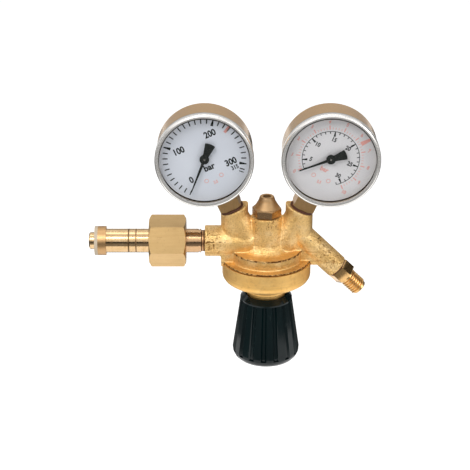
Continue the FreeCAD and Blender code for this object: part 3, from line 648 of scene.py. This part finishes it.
def softened(node, width):
    """The CAD node's own form with its sharp edges broken."""
    original = frame["nodes"][node]
    made = copy_of(node, node + "_finished")
    add_modifier(made, "DECIMATE", decimate_type="DISSOLVE", angle_limit=math.radians(0.6))
    add_modifier(made, "BEVEL", width=width * MM, segments=2, limit_method="ANGLE",
                 angle_limit=math.radians(28), use_clamp_overlap=True)
    apply_modifiers(made)
    select(made)
    bpy.ops.object.shade_smooth_by_angle(angle=math.radians(30))
    add_modifier(made, "WEIGHTED_NORMAL", keep_sharp=True, weight=100)
    apply_modifiers(made)
    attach(made, original["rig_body"])
    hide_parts(node)
    return made


# Camera, light and floor

def make_camera():
    data = bpy.data.cameras.new("camera")
    data.sensor_fit = "HORIZONTAL"
    data.sensor_width = SENSOR
    data.lens = FOCAL_PX * SENSOR / IMAGE_PX
    data.clip_end = 20.0
    camera = bpy.data.objects.new("camera", data)
    bpy.context.scene.collection.objects.link(camera)
    back = Vector((0, -math.cos(VIEW_ELEVATION), math.sin(VIEW_ELEVATION)))
    camera.location = VIEW_AIM + back * VIEW_DISTANCE
    camera.rotation_euler = (math.pi / 2 - VIEW_ELEVATION, 0, 0)
    bpy.context.scene.camera = camera


def area_lamp(name, place, size, power):
    data = bpy.data.lights.new(name, "AREA")
    data.shape = "RECTANGLE"
    data.size, data.size_y = size
    data.energy = power
    lamp = bpy.data.objects.new(name, data)
    bpy.context.scene.collection.objects.link(lamp)
    lamp.location = place
    lamp.rotation_euler = (MAIN_AXIS - Vector(place)).to_track_quat("-Z", "Y").to_euler()


def make_world():
    """White behind the object; a plain grey for its light."""
    world = bpy.data.worlds.new("studio")
    bpy.context.scene.world = world
    world.use_nodes = True
    net = Net(world.node_tree)
    back = net.tree.nodes["Background"]
    net.join((1, 1, 1, 1), back.inputs["Color"])
    net.join(ROOM_LIGHT + net.seen_directly() * (1 - ROOM_LIGHT), back.inputs["Strength"])


def make_floor():
    clear_selection()
    bpy.ops.mesh.primitive_plane_add(size=6.0, location=(0.1, 1.0, FLOOR_Z))
    floor = bpy.context.object
    floor.name = "floor"
    net = Finish("floor_paper")
    glow = net.blend(net.seen_directly(), (0, 0, 0), (FLOOR_GLOW, FLOOR_GLOW, FLOOR_GLOW))
    net.finish(Base_Color=(0.9, 0.9, 0.9), Roughness=0.9, Emission_Color=glow,
               Emission_Strength=1.0)
    paint(floor, net.material)


def dark_card(name, place, size, turn, shade):
    """Dark card beside the set, which shows only in the polished metal."""
    clear_selection()
    bpy.ops.mesh.primitive_plane_add(size=1.0, location=place, rotation=turn)
    card = bpy.context.object
    card.name = name
    card.scale = (size[0], size[1], 1)
    card.visible_camera = False
    card.visible_diffuse = False
    card.visible_shadow = False
    card.visible_transmission = False
    net = Finish(name + "_felt")
    paint(card, net.finish(Base_Color=(shade, shade, shade), Roughness=1.0))


def make_stage():
    make_camera()
    make_world()
    make_floor()
    for lamp in LAMPS:
        area_lamp(*lamp)
    for card in CARDS:
        dark_card(*card)


# Dials

class Gauge:
    """Places on one gauge, worked out from the frame."""

    def __init__(self, prefix, side):
        low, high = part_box(prefix + "_dial")
        self.prefix = prefix
        self.centre = Vector(((low.x + high.x) / 2, 0, (low.z + high.z) / 2))
        self.face = low.y
        self.tilt = side * GAUGE_TILT

    def point(self, radius, angle, lift=0.0):
        """Point on the dial, angle in degrees clockwise from the dial's own top."""
        a = math.radians(angle) + self.tilt
        return Vector((self.centre.x + radius * MM * math.sin(a), self.face - lift * MM,
                       self.centre.z + radius * MM * math.cos(a)))


def tick(gauge, angle, inner, outer, inner_width, outer_width):
    """Printed line across the scale, which may be wider at one end."""
    clear_selection()
    bpy.ops.mesh.primitive_cube_add(size=1.0)
    piece = bpy.context.object
    for vertex in piece.data.vertices:
        width = inner_width if vertex.co.z < 0 else outer_width
        vertex.co.x *= width
        vertex.co.z *= outer - inner
        vertex.co.y *= PRINT_DEPTH
    piece.scale = (MM, MM, MM)
    piece.location = gauge.point((inner + outer) / 2, angle, PRINT_DEPTH / 2)
    piece.rotation_euler = (0, math.radians(angle) + gauge.tilt, 0)
    apply_place(piece)
    return piece


def numeral(gauge, text, radius, angle, height, narrow=0.86):
    """Plain upright number or unit on the dial."""
    clear_selection()
    bpy.ops.object.text_add()
    piece = bpy.context.object
    piece.data.body = text
    piece.data.align_x = "CENTER"
    piece.data.align_y = "CENTER"
    piece.data.size = height / 0.7
    piece.data.extrude = PRINT_DEPTH / 2
    piece.data.resolution_u = 4
    piece.data.offset = 0.05 * height
    bpy.ops.object.convert(target="MESH")
    piece = bpy.context.object
    piece.scale = (narrow * MM, MM, MM)
    stand = Matrix.Rotation(math.pi / 2, 4, "X")
    lean = Matrix.Rotation(gauge.tilt, 4, "Y")
    piece.rotation_euler = (lean @ stand).to_euler()
    piece.location = gauge.point(radius, angle, PRINT_DEPTH / 2)
    apply_place(piece)
    return piece


def printed_ring(gauge, radius, width, start, end):
    """Thin printed arc about the dial's centre."""
    clear_selection()
    bpy.ops.mesh.primitive_circle_add(vertices=4, radius=1.0)
    piece = bpy.context.object
    inner = radius - width / 2
    outer = radius + width / 2
    corners = [(inner, 0.0), (outer, 0.0), (outer, PRINT_DEPTH), (inner, PRINT_DEPTH)]
    for vertex, (r, lift) in zip(piece.data.vertices, corners):
        vertex.co = gauge.point(r, start, lift)
    bpy.ops.object.mode_set(mode="EDIT")
    bpy.ops.mesh.select_all(action="SELECT")
    bpy.ops.mesh.spin(steps=90, angle=math.radians(start - end), axis=(0, 1, 0),
                      center=(gauge.centre.x, 0, gauge.centre.z))
    close_ends()
    bpy.ops.object.mode_set(mode="OBJECT")
    return piece


def close_ends():
    """Fills the two open ends of a swept square, in edit mode."""
    bpy.ops.mesh.select_all(action="SELECT")
    bpy.ops.mesh.fill_holes(sides=4)
    bpy.ops.mesh.select_all(action="SELECT")
    bpy.ops.mesh.normals_make_consistent(inside=False)


def finish_print(gauge, pieces, name, material):
    """One printed piece from its parts, in its ink."""
    made = joined(pieces, gauge.prefix + "_" + name)
    select(made)
    bpy.ops.object.mode_set(mode="EDIT")
    bpy.ops.mesh.select_all(action="SELECT")
    bpy.ops.mesh.normals_make_consistent(inside=False)
    bpy.ops.object.mode_set(mode="OBJECT")
    paint(made, material)
    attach(made, "regulator")


def high_pressure_print(gauge, ink, red):
    """0 to 315: a line every 10, a heavy wedge and a number every 100."""
    full = 315.0
    limit = 228.0
    number_height = 4.2
    scale_end = SCALE_START + SCALE_SWEEP
    black = []
    for value in range(0, 320, 10):
        angle = SCALE_START + SCALE_SWEEP * value / full
        if value % 100 == 0 and value > 0:
            black.append(tick(gauge, angle, 22.7, 27.3, 1.9, 0.7))
            black.append(numeral(gauge, str(value), 17.2, angle, number_height))
        else:
            black.append(tick(gauge, angle, 23.7, 27.0, 0.75, 0.75))
    black.append(tick(gauge, scale_end, 23.9, 27.0, 0.62, 0.62))
    black.append(numeral(gauge, "0", 17.3, 233.5, number_height))
    black.append(numeral(gauge, "315", 20.6, 131.5, 2.7))
    black.append(numeral(gauge, "bar", 6.9, 178.0, 4.1, 0.95))
    finish_print(gauge, black, "black_print", ink)
    marks = [tick(gauge, SCALE_START + SCALE_SWEEP * limit / full, 22.0, 27.2, 2.0, 1.6)]
    marks += small_marks(gauge)
    finish_print(gauge, marks, "red_print", red)


def small_marks(gauge):
    """Two small rings and a number, low on the dial."""
    pieces = []
    for angle in (160.5, 199.5):
        clear_selection()
        bpy.ops.mesh.primitive_torus_add(major_radius=1.25 * MM, minor_radius=0.2 * MM,
                                         major_segments=24, minor_segments=6,
                                         location=gauge.point(15.7, angle),
                                         rotation=(math.pi / 2, 0, 0))
        small_ring = bpy.context.object
        small_ring.scale = (1, 1, 0.15)
        apply_place(small_ring)
        pieces.append(small_ring)
    pieces.append(numeral(gauge, "2.5", 17.8, 180.0, 1.9))
    return pieces


def low_pressure_print(gauge, ink, red):
    """Inner black scale of 5 to 30 and outer red scale of 0 to 10."""
    inner_r = 18.5
    outer_r = 19.8
    per_unit = 10.0
    five = 243.6
    black = [printed_ring(gauge, inner_r, 0.4, five - 2 * per_unit, five + 26 * per_unit)]
    for value in range(3, 32):
        angle = five + per_unit * (value - 5)
        if value % 5 == 0:
            black.append(tick(gauge, angle, inner_r - 3.4, inner_r - 0.2, 1.4, 0.6))
            black.append(numeral(gauge, str(value), 12.9, angle, 2.8))
        else:
            black.append(tick(gauge, angle, inner_r - 1.6, inner_r, 0.55, 0.55))
    finish_print(gauge, black, "black_print", ink)
    marks = []
    for value in range(11):
        angle = SCALE_START + SCALE_SWEEP * value / 10
        marks.append(tick(gauge, angle, outer_r, outer_r + 2.8, 0.7, 0.7))
        marks.append(numeral(gauge, str(value), 25.0, angle, 2.4))
        if value < 10:
            for part in range(1, 5):
                fine = angle + SCALE_SWEEP * part / 50
                marks.append(tick(gauge, fine, outer_r, outer_r + 1.4, 0.36, 0.36))
    marks.append(tick(gauge, 38.5, 21.6, 28.0, 2.9, 1.9))
    marks.append(numeral(gauge, "bar", 8.6, 184.0, 3.0, 0.95))
    marks += small_marks(gauge)
    finish_print(gauge, marks, "red_print", red)


# Dressing

def dress_gauge(gauge, shared, dial_tones):
    """Gives each of a gauge's nodes its material."""
    pivot = gauge.centre
    turn = spin_turn((0, -1, 0))
    look = {
        "case": gauge_case_metal(gauge.prefix + "_case_metal", pivot, turn),
        "bezel": bezel_metal(gauge.prefix + "_bezel_metal", pivot, turn),
        "window": shared["window"],
        "dial": dial_paint(gauge.prefix + "_dial_white", *dial_tones),
        "stem": shared["stem"],
        "washer": shared["washer"],
        "bourdon_tube": shared["inner_brass"],
        "movement_frame": shared["inner_brass"],
        "sector": shared["inner_brass"],
        "link": shared["steel"],
        "pointer": shared["ink"],
        "arbor": bright_steel(gauge.prefix + "_arbor_steel", pivot, turn),
    }
    for part, material in look.items():
        paint(frame["nodes"][gauge.prefix + "_" + part], material)


def dress_metalwork(shared):
    """Gives every node outside the gauges its material."""
    looks = [
        (forged_brass("forging"), ["body"]),
        (bonnet_brass(), ["bonnet"]),
        (inlet_brass(), ["inlet_stem", "inlet_filter", "nut_thrust_ring"]),
        (seal_plastic("seal_white"), ["inlet_seal"]),
        (washer_copper(), ["inlet_washer"]),
        (brushed_brass("nut_brass"), ["union_nut"]),
        (turned_brass("upright_brass", MAIN_AXIS, (0, 0, 0)), [
            "valve_cartridge", "poppet", "diaphragm_plate", "diaphragm_washer", "relief_seat",
            "relief_poppet"]),
        (seal_plastic("poppet_white", (0.75, 0.74, 0.70), (0.62, 0.61, 0.58)), ["poppet_seal"]),
        (shared["steel"], [
            "poppet_pin", "poppet_spring", "slip_ring", "diaphragm_nut", "adjusting_spring",
            "spring_plate", "adjusting_screw", "relief_spring"]),
        (rubber("diaphragm_rubber"), ["diaphragm"]),
        (dark_plastic("knob_black"), ["knob"]),
        (relief_brass(), ["relief_body"]),
        (rubber("relief_fibre", (0.25, 0.10, 0.05), (0.15, 0.06, 0.03)), ["relief_gasket"]),
        (outlet_brass(), ["outlet_connector"]),
        (rubber("outlet_fibre", (0.22, 0.10, 0.05), (0.14, 0.06, 0.03)), ["outlet_gasket"])]
    for material, nodes in looks:
        for node in nodes:
            paint(frame["nodes"][node], material)


def turned_nut():
    """The union nut, left at the angle the photograph shows: one flat towards the camera."""
    made = softened("union_nut", 0.6)
    made.rotation_euler = (-VIEW_ELEVATION, 0, 0)
    apply_place(made)


def coil(node):
    """A merged, smoothly shaded copy of a spring, fixed to the regulator where it stands."""
    made = copy_of(node, node + "_coil")
    bpy.ops.object.shade_smooth_by_angle(angle=math.radians(40))
    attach(made, "regulator")
    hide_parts(node)
    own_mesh(made)


def cast_body(material):
    """The forging with blended valleys above and crisp turned edges on its flange."""
    made = copy_of("body", "body_forging")
    add_modifier(made, "REMESH", mode="VOXEL", voxel_size=CAST_VOXEL * MM, use_smooth_shade=True)
    apply_modifiers(made)
    flange_r = (LEDGE_EDGE[0] + 1.0) * MM
    flange_top = (STEP_EDGE[1] + 0.6) * MM
    cast = made.vertex_groups.new(name="cast_skin")
    cast.add([v.index for v in made.data.vertices
              if v.co.z > flange_top or math.hypot(v.co.x - MAIN_X, v.co.y) > flange_r],
             1.0, "REPLACE")
    add_modifier(made, "SMOOTH", factor=0.5, iterations=CAST_SMOOTHING,
                 vertex_group="cast_skin")
    apply_modifiers(made)
    paint(made, material)
    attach(made, "regulator")
    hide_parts("body")


def outlet_fitting(material):
    """Hexagon, neck and real screw thread of the outlet connector, bored through."""
    base = turned_sleeve([
        (OUTLET_BORE_R, OUTLET_START), (THREAD_ROOT_R, OUTLET_START),
        (THREAD_ROOT_R, OUTLET_END - 0.4), (THREAD_ROOT_R - 0.4, OUTLET_END),
        (OUTLET_BORE_R, OUTLET_END)])
    head = hexagon_head()
    ridges = screw_ridge()
    made = joined([base, head, ridges], "outlet_fitting")
    stand = OUTLET_ALONG.to_track_quat("Z", "Y").to_matrix().to_4x4()
    made.matrix_world = Matrix.Translation(OUTLET_PIVOT) @ stand @ Matrix.Scale(MM, 4)
    apply_place(made)
    select(made)
    bpy.ops.object.shade_smooth_by_angle(angle=math.radians(34))
    paint(made, material)
    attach(made, "regulator")
    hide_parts("outlet_connector")


def turned_sleeve(profile):
    """Closed ring of (radius, height) corners spun about Z."""
    clear_selection()
    bpy.ops.mesh.primitive_circle_add(vertices=len(profile), radius=1.0)
    piece = bpy.context.object
    for vertex, (radius, height) in zip(piece.data.vertices, profile):
        vertex.co = (radius, 0, height)
    bpy.ops.object.mode_set(mode="EDIT")
    bpy.ops.mesh.select_all(action="SELECT")
    bpy.ops.mesh.spin(steps=48, angle=2 * math.pi, center=(0, 0, 0), axis=(0, 0, 1))
    bpy.ops.mesh.select_all(action="SELECT")
    bpy.ops.mesh.remove_doubles(threshold=0.001)
    bpy.ops.mesh.normals_make_consistent(inside=False)
    bpy.ops.object.mode_set(mode="OBJECT")
    return piece


def hexagon_head():
    """The outlet connector's hexagon, with the edges at its two ends broken."""
    length = OUTLET_HEX_END - OUTLET_START
    clear_selection()
    bpy.ops.mesh.primitive_cylinder_add(
        vertices=6, radius=OUTLET_FLATS / math.sqrt(3), depth=length,
        location=(0, 0, (OUTLET_START + OUTLET_HEX_END) / 2))
    head = bpy.context.object
    apply_place(head)
    add_modifier(head, "BEVEL", width=0.5, segments=2, limit_method="ANGLE",
                 angle_limit=math.radians(70))
    apply_modifiers(head)
    return head


def screw_ridge():
    """Helical ridge that starts in the neck and runs out at the chamfered end."""
    start = OUTLET_NECK_END
    clear_selection()
    bpy.ops.mesh.primitive_circle_add(vertices=4, radius=1.0)
    ridge = bpy.context.object
    foot = THREAD_PITCH / 2 * 0.98
    crest = THREAD_PITCH / 2 * 0.18
    sunk_r = THREAD_ROOT_R - 0.3
    corners = [(sunk_r, -foot), (THREAD_CREST_R, -crest), (THREAD_CREST_R, crest), (sunk_r, foot)]
    for vertex, (radius, height) in zip(ridge.data.vertices, corners):
        vertex.co = (radius, 0, start + height)
    turns = int((OUTLET_END - start) / THREAD_PITCH)
    add_modifier(ridge, "SCREW", axis="Z", screw_offset=THREAD_PITCH, iterations=turns,
                 steps=40, render_steps=40)
    apply_modifiers(ridge)
    for vertex in ridge.data.vertices:
        height = min(max(vertex.co.z, start - 0.6), OUTLET_END)
        room = OUTLET_END - height
        limit = THREAD_CREST_R - max(0.0, THREAD_RUN_OUT - room)
        radius = math.hypot(vertex.co.x, vertex.co.y)
        shrink = min(1.0, limit / radius)
        vertex.co = (vertex.co.x * shrink, vertex.co.y * shrink, height)
    select(ridge)
    bpy.ops.object.mode_set(mode="EDIT")
    close_ends()
    bpy.ops.object.mode_set(mode="OBJECT")
    return ridge


def build():
    make_stage()
    shared = {
        "window": window_glass("clear_window"),
        "stem": brushed_brass("stem_brass", (1, 1, 0.04), (0.84, 0.53, 0.25), (0.54, 0.31, 0.12)),
        "washer": rubber("gauge_washer_fibre", (0.12, 0.04, 0.015), (0.05, 0.015, 0.008)),
        "inner_brass": brushed_brass("inner_brass"),
        "steel": spring_steel("grey_steel"),
        "ink": printed("black_ink", (0.012, 0.014, 0.013), (0.03, 0.035, 0.032)),
    }
    red = printed("red_ink", (0.80, 0.32, 0.28), (0.88, 0.50, 0.45))
    dress_metalwork(shared)
    left = Gauge("high_gauge", -1)
    right = Gauge("low_gauge", 1)
    dress_gauge(left, shared, DIAL_BLUE_WHITE)
    dress_gauge(right, shared, DIAL_WARM_WHITE)
    high_pressure_print(left, shared["ink"], red)
    low_pressure_print(right, shared["ink"], red)
    cast_body(frame["nodes"]["body"].data.materials[0])
    outlet_fitting(frame["nodes"]["outlet_connector"].data.materials[0])
    turned_nut()
    for node, slot, width in SOFTENED:
        softened(node, width)
    for node, joint, travel in SPRINGS:
        coil(node)


build()
bpy.context.scene.view_settings.view_transform = "Standard"
